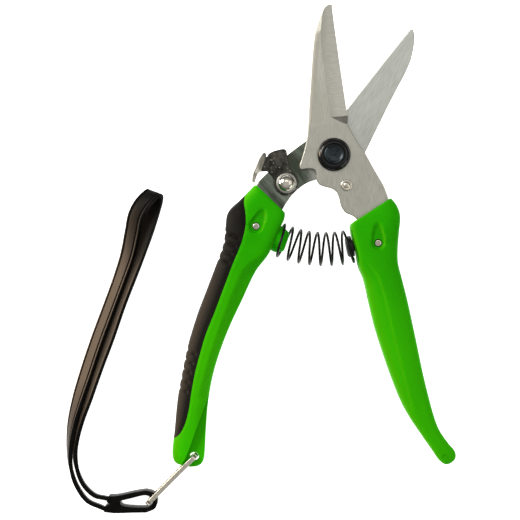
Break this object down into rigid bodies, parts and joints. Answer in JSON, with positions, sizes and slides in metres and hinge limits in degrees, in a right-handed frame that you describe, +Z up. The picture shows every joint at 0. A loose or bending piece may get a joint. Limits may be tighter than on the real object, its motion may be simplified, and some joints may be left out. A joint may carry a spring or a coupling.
{
  "type": "bypass pruner",
  "caption": "Hand-held bypass pruner with two straight blades on a round pivot, soft-grip handles, an open coil spring, a thumb latch and a wrist strap.",
  "frame": {"origin": "on the main pivot's axis, in the plane of the surface that the tool lies on, at the flat end of the pivot bolt", "axes": "+Z up out of the surface along the pivot axis, +Y towards the blade tips, +X from the left handle to the right one"},
  "size_m": [0.172, 0.2236, 0.016],
  "materials": {
    "blade_steel": "fine grinding lines, satin",
    "pivot_black": "gloss black",
    "pivot_head_steel": "dark blued steel",
    "hidden_steel": "plain zinc grey",
    "nickel": "bright nickel",
    "latch_steel": "dark chromed pressing",
    "chrome": "polished",
    "green_plastic": "saturated green, semi-gloss moulding",
    "soft_grip": "charcoal satin overmould",
    "spring_black": "black oxide wire",
    "seat_black": "black moulding",
    "strap_black": "black satin flexible moulding"
  },
  "bodies": {
    "left_half": {"rear_blade": "blade_steel", "pivot_bolt": "pivot_head_steel", "pivot_washer": "hidden_steel", "pivot_nut": "pivot_head_steel", "latch_washer": "latch_steel", "latch_rivet": "chrome", "left_handle": "green_plastic", "left_grip": "soft_grip", "left_handle_screw": "nickel", "left_handle_nut": "nickel", "spring": "spring_black"},
    "right_half": {"front_blade": "blade_steel", "stop_rivet": "nickel", "pivot_collar": "pivot_black", "pivot_bush": "hidden_steel", "right_handle": "green_plastic", "right_handle_screw": "nickel", "right_handle_nut": "nickel", "right_spring_seat": "seat_black"},
    "latch": {"latch_plate": "latch_steel"},
    "lanyard": {"wire_link": "nickel"},
    "strap": {"strap_eye": "strap_black", "wrist_strap": "strap_black"}
  },
  "joints": [
    {"name": "jaw", "type": "hinge", "parent": "left_half", "child": "right_half", "pos_m": [0, 0, 0.008], "axis": [0, 0, -1], "range_deg": [0, 35], "stiffness_Nm_per_rad": 1.25, "deforming": ["spring"]},
    {"name": "latch_turn", "type": "hinge", "parent": "left_half", "child": "latch", "pos_m": [-0.0208, -0.0125, 0.009], "axis": [0, 0, -1], "range_deg": [0, 24]},
    {"name": "link_swing", "type": "hinge", "parent": "left_half", "child": "lanyard", "pos_m": [-0.0612, -0.1324, 0.008], "axis": [0, 0, 1], "range_deg": [-3, 75]},
    {"name": "strap_swing", "type": "hinge", "parent": "lanyard", "child": "strap", "pos_m": [-0.0815, -0.1527, 0.0066], "axis": [0, 0, 1], "range_deg": [-3, 40]}
  ]
}
